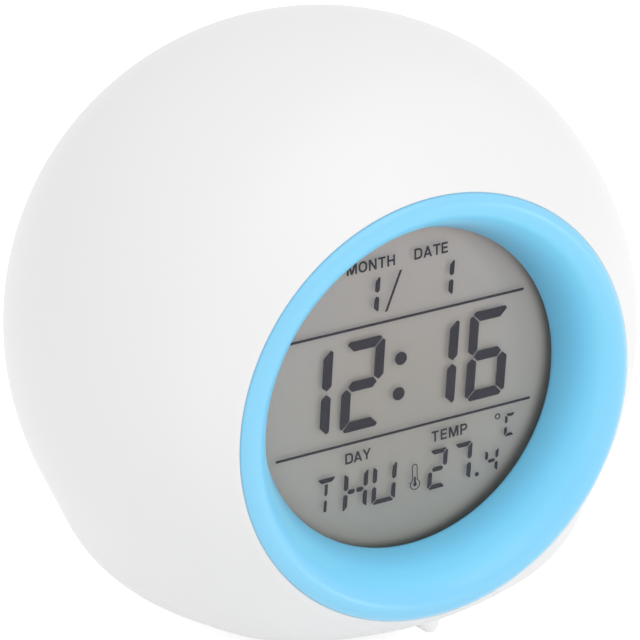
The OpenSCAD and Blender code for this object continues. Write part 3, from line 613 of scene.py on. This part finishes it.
shellPlan = {
    "segments": 240,
    "rows": 112,
    "capRows": 27,          # rows of the sphere that the ring's hole takes
    "rimReach": 39.25,      # the shell's edge beside the ring
    "fadeSide": 12.0,       # width over which the shell runs into the ring's edge
    "fadeTop": 26.0,        # the same above the ring, where that edge lies deepest
    "fadeDepth": 0.7,       # depth of the edge where the fade starts to widen
    "fadeSpan": 1.75,       # and how much deeper it is at its widest
    "cheek": 0.8,           # the shell is fuller low beside the ring
    "cheekAt": 42.0,
    "cheekWidth": 20.0,
    "cheekLength": 28.0,
    "edgeBevel": 0.16,
    "edgeAngle": 50.0,
    "baseHole": 33.95,
    "baseCut": (-2.0, 5.0),  # from the flat underside
    "baseSteps": 192,
    "panelSize": (54.0, 28.0, 9.0),
    "panelCut": (20.0, 70.0),  # from the ball's centre
}


def bodyReach(direction):
    # distance from the ball's centre to the globe's surface: ball, flank, rounding, underside
    flat = math.hypot(direction.x, direction.y)
    roundHeight = clock["roundRadius"] - clock["floorDrop"]
    across = math.hypot(clock["flatRadius"], roundHeight)
    flank = (math.atan2(roundHeight, clock["flatRadius"])
             + math.acos((clock["ballRadius"] - clock["roundRadius"]) / across))
    if math.atan2(direction.z, flat) >= flank:
        return clock["ballRadius"]
    under = -clock["floorDrop"] / direction.z
    if under > 0 and under * flat <= clock["flatRadius"]:
        return under
    reach = clock["ballRadius"] / (flat * math.cos(flank) + direction.z * math.sin(flank))
    if reach * direction.z >= roundHeight + clock["roundRadius"] * math.sin(flank):
        return reach
    along = flat * clock["flatRadius"] + direction.z * roundHeight
    return along + math.sqrt(along ** 2 - across ** 2 + clock["roundRadius"] ** 2)


def shellPoint(theta, t):
    # a place on the shell: theta runs round the ring, and t from its edge to the back
    rim = ((clock["holeRadius"] * math.cos(theta)) * ringRight
           + (clock["holeRadius"] * math.sin(theta) - clock["ringDrop"]) * ringUp
           + shellPlan["rimReach"] * ringOut)
    start = rim.normalized()
    whole = start.angle(-ringOut)
    side = (start + ringOut * start.dot(-ringOut)).normalized()
    angle = whole * (1 - t)
    direction = -ringOut * math.cos(angle) + side * math.sin(angle)
    drop = rim.length - bodyReach(start)
    ease = min(1.0, max(0.0, (-drop - shellPlan["fadeDepth"]) / shellPlan["fadeSpan"]))
    fade = shellPlan["fadeSide"] + (shellPlan["fadeTop"] - shellPlan["fadeSide"]) * ease
    along = whole * t * clock["ballRadius"]
    x = min(1.0, along / fade)
    weight = (1 - x) ** 2 * (1 + 2 * x)
    beside = (abs(math.degrees(theta) + 90) - shellPlan["cheekAt"]) / shellPlan["cheekWidth"]
    cheek = shellPlan["cheek"] * math.exp(-beside ** 2)
    if along < shellPlan["cheekLength"]:
        fuller = cheek * math.sin(math.pi * along / shellPlan["cheekLength"]) ** 2
    else:
        fuller = 0.0
    return ballCentre + direction * (bodyReach(direction) + drop * weight + fuller)


def makeShell():
    clearSelection()
    rows = shellPlan["rows"]
    bpy.ops.mesh.primitive_uv_sphere_add(
        segments=shellPlan["segments"], ring_count=rows, radius=1, location=(0, 0, 0))
    shell = named("frostedGlobe")
    first = shellPlan["capRows"] * math.pi / rows
    deselectMesh("VERT")
    for v in shell.data.vertices:
        v.select = math.acos(max(-1, min(1, v.co.z))) < first - 0.001
    bpy.ops.object.mode_set(mode="EDIT")
    bpy.ops.mesh.delete(type="VERT")
    bpy.ops.object.mode_set(mode="OBJECT")
    for v in shell.data.vertices:
        polar = math.acos(max(-1, min(1, v.co.z)))
        t = (polar - first) / (math.pi - first)
        v.co = shellPoint(math.atan2(v.co.y, v.co.x), t) * mm
    tidyMesh(shell)
    applyModifier(shell, "SOLIDIFY", thickness=clock["wall"] * mm, offset=-1.0,
                  use_even_offset=True)
    # openings for the base and the rear panel
    low, high = shellPlan["baseCut"]
    bpy.ops.mesh.primitive_cylinder_add(
        vertices=shellPlan["baseSteps"], radius=shellPlan["baseHole"] * mm,
        depth=(high - low) * mm,
        location=(ballCentre + Vector((0, 0, -clock["floorDrop"] + (low + high) / 2))) * mm)
    cutWith(shell, bpy.context.object)
    cutWith(shell, roundedBlock("rearCutter", *shellPlan["panelSize"], *shellPlan["panelCut"],
                                rearPlace(0, 0, 0), rearTurn))
    applyModifier(shell, "BEVEL", width=shellPlan["edgeBevel"] * mm, segments=2,
                  limit_method="ANGLE", angle_limit=math.radians(shellPlan["edgeAngle"]))
    smooth(shell, shellPlan["edgeAngle"])
    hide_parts("globe_shell")
    return finish(shell, "clock", shellPlastic)


shell = makeShell()
print("globe made:", len(shell.data.polygons))


ringPlan = {
    "lipWidth": 3.85,
    "lipHeight": 0.95,
    "lipFall": 0.5,         # the lip's outer foot lies this far behind the ring's reach
    "lipEnd": 105.0,        # where the lip starts to run into the dished wall
    "lipSteps": 22,
    "wallEnd": 157.6,       # the way the wall faces at its foot
    "wallSteps": 28,
    "lipPull": 2.4,         # how far the wall follows the lip, and its own way at its foot
    "wallPull": 6.5,
    "aperture": 28.4,
    "openingShift": (0.2, 0.27),
    "shiftEnd": 33.4,       # the shift of the opening fades out as far as this
    "edgeLow": 29.3,        # underside of the ring's inner edge
    "edgeHigh": 29.9,
    "edgeSoft": 0.12,
    "edgeRound": ((0.06, 0.1), (0.0, -0.05)),
    "flangeReach": 4.6,     # out from the opening
    "flangeHeight": 1.6,
    "wallReach": 3.4,
    "skirtEnd": 34.5,
    "skirtHeight": 2.0,
    "wall": 2.0,
    "steps": 256,
    "smoothAngle": 55.0,
}


def alongAt(turn):
    # the way an arc runs at one of its angles
    return Vector((-math.sin(math.radians(turn)), math.cos(math.radians(turn))))


def ringProfile():
    half, height = ringPlan["lipWidth"] / 2, ringPlan["lipHeight"]
    radius = (half ** 2 + height ** 2) / (2 * height)
    middle = (clock["ringRadius"] - half, clock["ringReach"] + height - radius)
    outer = math.degrees(math.atan2(clock["ringReach"] - middle[1], half))
    lip = arcPoints(middle, radius, outer, ringPlan["lipEnd"], ringPlan["lipSteps"])
    # the wall is a gently rounded slope that leaves the lip in the lip's own direction
    edge, low, high = ringPlan["aperture"], ringPlan["edgeLow"], ringPlan["edgeHigh"]
    top, foot = Vector(lip[-1]), Vector((edge, high))
    leave = top + ringPlan["lipPull"] * alongAt(ringPlan["lipEnd"])
    arrive = foot - ringPlan["wallPull"] * alongAt(ringPlan["wallEnd"])
    dish = []
    for i in range(1, ringPlan["wallSteps"]):
        u = i / ringPlan["wallSteps"]
        point = ((1 - u) ** 3 * top + 3 * (1 - u) ** 2 * u * leave
                 + 3 * (1 - u) * u ** 2 * arrive + u ** 3 * foot)
        dish.append((point.x, point.y))
    # the profile closes round the inner edge and along the back to the lip's outer foot
    soft, skirt, back = ringPlan["edgeSoft"], ringPlan["skirtEnd"], low + ringPlan["flangeHeight"]
    flange, wall = edge + ringPlan["flangeReach"], edge + ringPlan["wallReach"]
    side, inside = clock["ringRadius"], clock["ringRadius"] - ringPlan["wall"]
    return (lip + dish + [(edge + x, high + y) for x, y in ringPlan["edgeRound"]]
            + [(edge, low + soft), (edge + soft, low), (flange, low), (flange, back),
               (wall, back), (inside, skirt + ringPlan["skirtHeight"]), (inside, skirt),
               (side, skirt), (side, clock["ringReach"] - ringPlan["lipFall"])])


def makeRing():
    ring = spunPiece("dishedRing", ringProfile(), ringPlan["steps"],
                     lambda r, s: ringPlace(r, 0, s), ringCentre, ringOut)
    # the opening sits a little off the ring's own axis
    right, up = ringPlan["openingShift"]
    near, far = ringPlan["aperture"], ringPlan["shiftEnd"]
    for vertex in ring.data.vertices:
        arm = vertex.co - ringCentre * mm
        arm -= arm.dot(ringOut) * ringOut
        share = min(1.0, max(0.0, (far - arm.length / mm) / (far - near)))
        vertex.co += (right * ringRight + up * ringUp) * share * mm
    smooth(ring, ringPlan["smoothAngle"])
    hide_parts("front_ring")
    return finish(ring, "clock", ringPlastic)


ring = makeRing()
print("ring made:", len(ring.data.polygons))


displayPlan = {
    "filmDepth": 0.7,       # the grey film lies this far behind the characters
    "panelWidth": 60.0,
    "panelHeight": 63.0,
    "panelDepth": 2.0,      # of its back, behind the characters
    "panelBevel": 0.15,
    "cornerRadius": 39.0,
    "signThickness": 0.05,
    "captionHeight": 1.93,
    # word, left edge, right edge, foot
    "captions": [("MONTH", -10.9, -1.75, 22.57), ("DATE", 2.0, 8.5, 22.68),
                 ("DAY", -11.93, -6.95, -10.95), ("TEMP", 5.0, 12.1, -10.95)],
    "stroke": 0.17,         # of a capital letter, which is 1 high
    "tubeX": 1.58,
    "tubeRadius": 0.54,
    "tubeTop": -14.1,
    "bulbY": -17.9,
    "bulbRadius": 1.0,
    "bulbFill": 0.36,       # share of the bulb that the column fills
    "tubeLine": 0.15,
    "columnTop": -16.5,
    "columnWidth": 0.34,
}


def makeDisplayPanel():
    clearSelection()
    top = clock["displayReach"] - displayPlan["filmDepth"]
    bottom = clock["displayReach"] - displayPlan["panelDepth"]
    bpy.ops.mesh.primitive_cylinder_add(
        vertices=160, radius=displayPlan["cornerRadius"] * mm, depth=(top - bottom) * mm,
        location=(0, 0, (top + bottom) / 2 * mm))
    panel = named("displayPanel")
    settle(panel)
    bpy.ops.object.mode_set(mode="EDIT")
    for side in ((1, 0), (-1, 0), (0, 1), (0, -1)):
        half = displayPlan["panelWidth"] / 2 if side[0] else displayPlan["panelHeight"] / 2
        bpy.ops.mesh.select_all(action="SELECT")
        bpy.ops.mesh.bisect(plane_co=(side[0] * half * mm, side[1] * half * mm, 0),
                            plane_no=(*side, 0), use_fill=True, clear_outer=True)
    bpy.ops.object.mode_set(mode="OBJECT")
    panel.matrix_world = Matrix.Translation(ringCentre * mm) @ ringTurn
    settle(panel)
    tidyMesh(panel)
    applyModifier(panel, "BEVEL", width=displayPlan["panelBevel"] * mm, segments=2,
                  limit_method="ANGLE")
    smooth(panel, 30)
    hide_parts("lcd_glass")
    return finish(panel, "clock", lcdFilm)


def bowl(left, right, low, high, corner):
    # right-hand side of a round letter, from its foot to its head
    centre = right - corner
    return [(left, low), *arcPoints((centre, low + corner), corner, -90, 0, 6),
            *arcPoints((centre, high - corner), corner, 0, 90, 6), (left, high)]


def letterLoops(letter, t):
    # outlines of a bold capital, 1 high, drawn anticlockwise from its lower left
    mid = 0.5 * t
    if letter == "M":
        w = 0.98
        return w, [[(0, 0), (t, 0), (t, 0.62), (w / 2 - 0.085, 0), (w / 2 + 0.085, 0),
                    (w - t, 0.62), (w - t, 0), (w, 0), (w, 1), (w - 0.25, 1), (w / 2, 0.3),
                    (0.25, 1), (0, 1)]]
    if letter == "N":
        w = 0.76
        return w, [[(0, 0), (t, 0), (t, 0.68), (w - t - 0.01, 0), (w, 0), (w, 1), (w - t, 1),
                    (w - t, 0.32), (t + 0.01, 1), (0, 1)]]
    if letter == "H":
        w = 0.76
        return w, [[(0, 0), (t, 0), (t, 0.5 - mid), (w - t, 0.5 - mid), (w - t, 0), (w, 0),
                    (w, 1), (w - t, 1), (w - t, 0.5 + mid), (t, 0.5 + mid), (t, 1), (0, 1)]]
    if letter == "T":
        w = 0.72
        return w, [[(w / 2 - mid, 0), (w / 2 + mid, 0), (w / 2 + mid, 1 - t), (w, 1 - t),
                    (w, 1), (0, 1), (0, 1 - t), (w / 2 - mid, 1 - t)]]
    if letter == "E":
        w = 0.64
        return w, [[(0, 0), (w, 0), (w, t), (t, t), (t, 0.51 - mid), (w - 0.05, 0.51 - mid),
                    (w - 0.05, 0.51 + mid), (t, 0.51 + mid), (t, 1 - t), (w, 1 - t), (w, 1),
                    (0, 1)]]
    if letter == "Y":
        w = 0.84
        return w, [[(w / 2 - mid, 0), (w / 2 + mid, 0), (w / 2 + mid, 0.4), (w, 1),
                    (w - 1.15 * t, 1), (w / 2, 0.58), (1.15 * t, 1), (0, 1),
                    (w / 2 - mid, 0.4)]]
    if letter == "A":
        w, leg = 0.86, 1.12 * t
        rise = w / 2 - mid
        low, high = 0.2, 0.2 + 0.9 * t
        return w, [[(0, 0), (leg, 0), (rise * low + leg, low), (w - rise * low - leg, low),
                    (w - leg, 0), (w, 0), (w / 2 + mid, 1), (w / 2 - mid, 1)],
                   [(rise * high + leg, high), (w - rise * high - leg, high),
                    (w / 2, (w / 2 - leg) / rise)]]
    if letter == "D":
        w = 0.78
        return w, [bowl(0, w, 0, 1, 0.36), bowl(t, w - t, t, 1 - t, 0.22)]
    if letter == "P":
        w = 0.72
        return w, [[(0, 0), (t, 0)] + bowl(t, w, 0.36, 1, 0.3)[:-1] + [(0, 1)],
                   bowl(t, w - t, 0.36 + t, 1 - t, 0.14)]
    # all that is left is O
    w = 0.84
    rounds = [bowl(w / 2, w - t * i, t * i, 1 - t * i, 0.4 - 0.15 * i) for i in (0, 1)]
    return w, [half + [(w - x, y) for x, y in reversed(half)][1:-1] for half in rounds]


def flatSign(name, loops):
    # outlines with their holes are filled, and given the thickness of a character
    clearSelection()
    outline = bpy.data.curves.new(name, "CURVE")
    outline.dimensions = "2D"
    outline.fill_mode = "BOTH"
    outline.extrude = displayPlan["signThickness"] / 2 * mm
    for loop in loops:
        line = outline.splines.new("POLY")
        line.points.add(len(loop) - 1)
        for point, (x, y) in zip(line.points, loop):
            point.co = (x * mm, y * mm, 0, 1)
        line.use_cyclic_u = True
    sign = bpy.data.objects.new(name, outline)
    bpy.context.scene.collection.objects.link(sign)
    activate(sign)
    bpy.ops.object.convert(target="MESH")
    sign = named(name)
    up = (clock["displayReach"] + displayPlan["signThickness"] / 2) * mm
    sign.matrix_world = (Matrix.Translation(ringCentre * mm) @ ringTurn
                         @ Matrix.Translation((0, 0, up)))
    settle(sign)
    tidyMesh(sign)
    return finish(sign, "clock", lcdInk)


def makeCaption(word, left, right, low):
    tall = displayPlan["captionHeight"]
    letters = [letterLoops(letter, displayPlan["stroke"]) for letter in word]
    gap = (right - left - tall * sum(w for w, loops in letters)) / (len(word) - 1)
    loops = []
    for w, outlines in letters:
        loops += [[(left + tall * x, low + tall * y) for x, y in loop] for loop in outlines]
        left += tall * w + gap
    return flatSign("caption" + word.title(), loops)


def bulbAndTube(radius, bulb, top):
    # outline of a tube with round ends that widens into a bulb below
    x, y = displayPlan["tubeX"], displayPlan["bulbY"]
    neck = math.degrees(math.asin(radius / bulb))
    return (arcPoints((x, y), bulb, 90 + neck, 450 - neck, 24)
            + arcPoints((x, top - radius), radius, 0, 180, 9))


def makeThermometer():
    line = displayPlan["tubeLine"]
    radius, bulb, top = (displayPlan[key] for key in ("tubeRadius", "bulbRadius", "tubeTop"))
    return flatSign("thermometerSign", [
        bulbAndTube(radius, bulb, top),
        bulbAndTube(radius - line, bulb - line, top - line),
        bulbAndTube(displayPlan["columnWidth"] / 2, displayPlan["bulbFill"] * bulb,
                    displayPlan["columnTop"])])


makeDisplayPanel()
for caption in displayPlan["captions"]:
    makeCaption(*caption)
makeThermometer()
print("display made")


footPlan = {
    "turns": (-83, 45, 135),
    "reach": 29.75,
    "length": 5.7,
    "width": 5.0,
    "corner": 2.3,
    "top": 3.15,
    "shoulder": 1.95,       # below this height a foot narrows
    # step down, then the share of the length and the width that is left
    "taper": ((0.6, 0.93, 0.94), (0.75, 0.78, 0.76), (0.6, 0.53, 0.5)),
    "edgeBevel": 0.25,
    "edgeAngle": 30.0,
    "smoothAngle": 35.0,
}


def makeFoot(turn):
    low, high = footPlan["shoulder"], footPlan["top"]
    around = (Matrix.Translation((ballCentre.x * mm, ballCentre.y * mm, 0))
              @ Matrix.Rotation(math.radians(turn), 4, "Z")
              @ Matrix.Translation((footPlan["reach"] * mm, 0, 0)))
    foot = roundedBlock("stubFoot", footPlan["length"], footPlan["width"], footPlan["corner"],
                        low, high, Vector((0, 0, 0)), Matrix.Identity(4))
    for face in foot.data.polygons:
        face.select = face.normal.z < -0.9
    bpy.ops.object.mode_set(mode="EDIT")
    bpy.ops.mesh.select_mode(type="FACE")
    long, wide = 1.0, 1.0
    for step, nextLong, nextWide in footPlan["taper"]:
        bpy.ops.mesh.extrude_region_move(
            TRANSFORM_OT_translate={"value": (0, 0, -step * mm)})
        bpy.ops.transform.resize(value=(nextLong / long, nextWide / wide, 1),
                                 center_override=(footPlan["length"] / 2 * mm, 0, 0))
        long, wide = nextLong, nextWide
    bpy.ops.mesh.select_mode(type="VERT")
    bpy.ops.object.mode_set(mode="OBJECT")
    foot.matrix_world = around
    settle(foot)
    tidyMesh(foot)
    applyModifier(foot, "BEVEL", width=footPlan["edgeBevel"] * mm, segments=3,
                  limit_method="ANGLE", angle_limit=math.radians(footPlan["edgeAngle"]))
    return foot


def makeFeet():
    feet = [makeFoot(turn) for turn in footPlan["turns"]]
    for other in feet[1:]:
        joinInto(feet[0], other)
    feet[0].name = feet[0].data.name = "stubFeet"
    smooth(feet[0], footPlan["smoothAngle"])
    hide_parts("base_feet")
    return finish(feet[0], "clock", footRubber)


makeFeet()
print("feet made")


floorPlan = {
    "size": 6.0,            # metres
    "colour": (0.9, 0.9, 0.9, 1),
    "glow": 0.66,           # for the camera and for reflections only
}


def makeFloor():
    clearSelection()
    bpy.ops.mesh.primitive_plane_add(size=floorPlan["size"], location=(0, 0, 0))
    floor = named("floor")
    material = bpy.data.materials.new("paleFloor")
    material.use_nodes = True
    tree = material.node_tree
    tree.nodes.clear()
    diffuse = tree.nodes.new("ShaderNodeBsdfDiffuse")
    diffuse.inputs["Color"].default_value = floorPlan["colour"]
    rays = tree.nodes.new("ShaderNodeLightPath")
    level = tree.nodes.new("ShaderNodeMath")
    level.operation = "MULTIPLY"
    level.inputs[1].default_value = floorPlan["glow"]
    glow = tree.nodes.new("ShaderNodeEmission")
    add = tree.nodes.new("ShaderNodeAddShader")
    out = tree.nodes.new("ShaderNodeOutputMaterial")
    seen = largerOf(tree, rays.outputs["Is Camera Ray"], rays.outputs["Is Glossy Ray"])
    tree.links.new(seen, level.inputs[0])
    tree.links.new(level.outputs[0], glow.inputs["Strength"])
    tree.links.new(diffuse.outputs[0], add.inputs[0])
    tree.links.new(glow.outputs[0], add.inputs[1])
    tree.links.new(add.outputs[0], out.inputs["Surface"])
    floor.data.materials.append(material)


roomPlan = {
    "light": 0.83,          # level that lights the clock and the floor
    "seen": 1.0,            # level for the camera, for reflections and through clear parts
}


def makeWorld():
    world = bpy.data.worlds.new("softRoom")
    bpy.context.scene.world = world
    world.use_nodes = True
    tree = world.node_tree
    tree.nodes.clear()
    rays = tree.nodes.new("ShaderNodeLightPath")
    mix = tree.nodes.new("ShaderNodeMixShader")
    out = tree.nodes.new("ShaderNodeOutputWorld")
    direct = largerOf(tree, rays.outputs["Is Camera Ray"], rays.outputs["Is Glossy Ray"])
    tree.links.new(largerOf(tree, direct, rays.outputs["Is Transmission Ray"]),
                   mix.inputs["Fac"])
    for side, level in ((1, roomPlan["light"]), (2, roomPlan["seen"])):
        white = tree.nodes.new("ShaderNodeBackground")
        white.inputs["Color"].default_value = (1, 1, 1, 1)
        white.inputs["Strength"].default_value = level
        tree.links.new(white.outputs[0], mix.inputs[side])
    tree.links.new(mix.outputs[0], out.inputs["Surface"])


# metres and watts
lampAim = (0, 0, 0.05)
lamps = [
    {"name": "keyLamp", "place": (-0.1, -0.6, 0.92), "size": 0.8, "power": 1.5},
    {"name": "fillLamp", "place": (-0.75, -0.75, 0.1), "size": 0.6, "power": 0.85},
    {"name": "sideLamp", "place": (0.58, -0.62, 0.05), "size": 0.14, "power": 0.6},
    {"name": "glintLamp", "place": (0.2, -0.4, 0.72), "size": 0.12, "power": 0.25},
]


def makeLamps():
    for plan in lamps:
        data = bpy.data.lights.new(plan["name"], "AREA")
        data.shape = "DISK"
        data.size = plan["size"]
        data.energy = plan["power"]
        lamp = bpy.data.objects.new(plan["name"], data)
        bpy.context.scene.collection.objects.link(lamp)
        lamp.location = plan["place"]
        aim = Vector(lampAim) - Vector(plan["place"])
        lamp.rotation_euler = aim.to_track_quat("-Z", "Y").to_euler()


cameraPlan = {
    "turn": -29.98,         # from straight ahead
    "rise": 24.10,
    "back": 10.054,         # in radii of the ball, from its centre
    "right": -0.0006,
    "up": 0.0053,
    "sensorWidth": 36,
    "lens": 178.74,
}


def makeCamera():
    turn, rise = math.radians(cameraPlan["turn"]), math.radians(cameraPlan["rise"])
    back = Vector((math.sin(turn) * math.cos(rise), -math.cos(turn) * math.cos(rise),
                   math.sin(rise)))
    right = Vector((math.cos(turn), math.sin(turn), 0))
    up = back.cross(right)
    data = bpy.data.cameras.new("studioCamera")
    data.sensor_width = cameraPlan["sensorWidth"]
    data.lens = cameraPlan["lens"]
    camera = bpy.data.objects.new("studioCamera", data)
    bpy.context.scene.collection.objects.link(camera)
    place = ballCentre + clock["ballRadius"] * (
        cameraPlan["back"] * back + cameraPlan["right"] * right + cameraPlan["up"] * up)
    camera.matrix_world = (Matrix.Translation(place * mm)
                           @ Matrix((right, up, back)).transposed().to_4x4())
    bpy.context.scene.camera = camera


makeFloor()
makeWorld()
makeLamps()
makeCamera()
bpy.context.scene.view_settings.view_transform = "Standard"
print("floor, lights and camera made")
